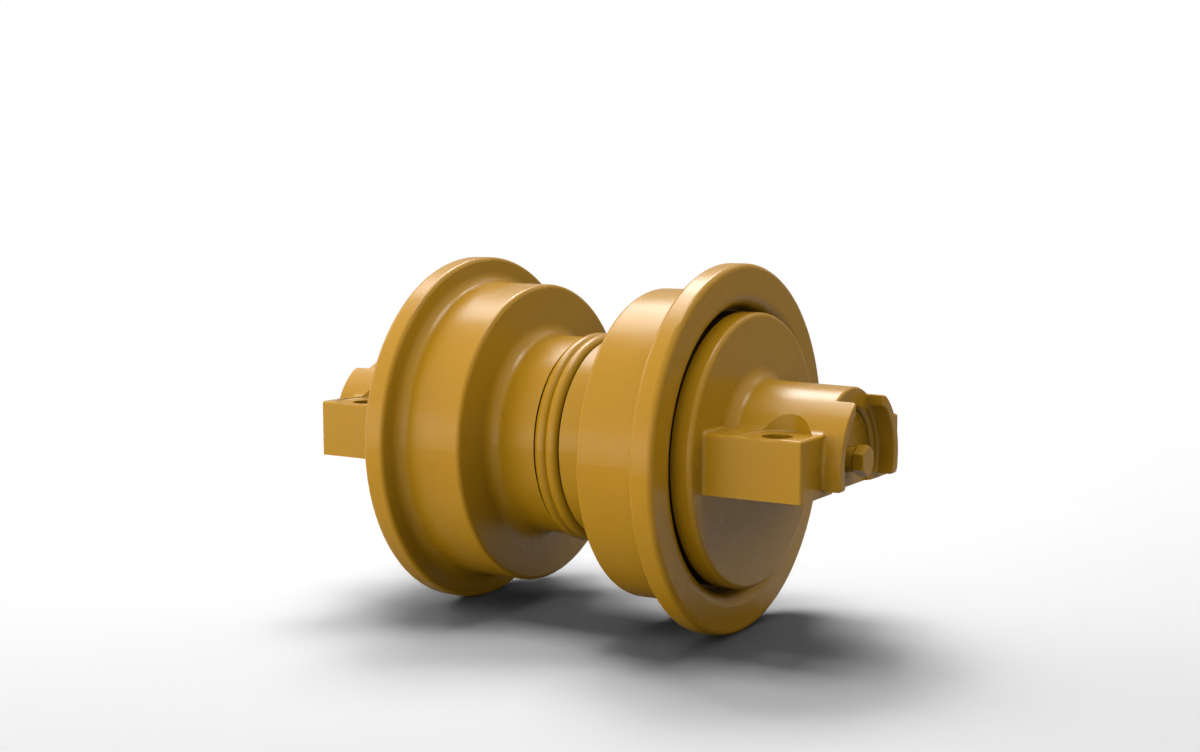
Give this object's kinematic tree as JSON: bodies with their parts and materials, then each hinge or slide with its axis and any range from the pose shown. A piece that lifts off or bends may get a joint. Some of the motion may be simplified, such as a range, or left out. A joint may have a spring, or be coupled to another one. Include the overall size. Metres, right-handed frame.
{
  "type": "single flange track roller",
  "caption": "Crawler track roller: a hollow shell with an outboard flange on each rim turns on a shaft held by end collars with flat seats and bolt ears.",
  "frame": {"origin": "middle of the roller's axis, half way between the two flanges", "axes": "+Y along the roller's axis towards the end with the oil plug, +Z away from the flat mounting seats, +X across the axis"},
  "size_m": [0.2628, 0.4296, 0.2628],
  "materials": {
    "shell_paint": "semi-gloss",
    "collar_paint": "semi-gloss",
    "plug_paint": "semi-gloss",
    "shaft_paint": "semi-gloss",
    "pin_steel": "ground",
    "bushing_bronze": "satin",
    "seal_iron": "lapped",
    "seal_rubber": "matt"
  },
  "bodies": {
    "carrier": {"shaft": "shaft_paint", "end_collar_right": "collar_paint", "end_collar_left": "collar_paint", "collar_pin_right": "pin_steel", "collar_pin_left": "pin_steel", "shaft_o_ring_right": "seal_rubber", "shaft_o_ring_left": "seal_rubber", "fixed_seal_ring_right": "seal_iron", "fixed_seal_ring_left": "seal_iron", "fixed_toric_right": "seal_rubber", "fixed_toric_left": "seal_rubber", "oil_plug": "plug_paint"},
    "shell": {"shell_half_right": "shell_paint", "shell_half_left": "shell_paint", "bushing_right": "bushing_bronze", "bushing_left": "bushing_bronze", "rotating_seal_ring_right": "seal_iron", "rotating_seal_ring_left": "seal_iron", "rotating_toric_right": "seal_rubber", "rotating_toric_left": "seal_rubber"}
  },
  "joints": [
    {"name": "shell_spin", "type": "hinge", "parent": "carrier", "child": "shell", "pos_m": [0, 0, 0], "axis": [0, 1, 0], "continuous": true}
  ]
}
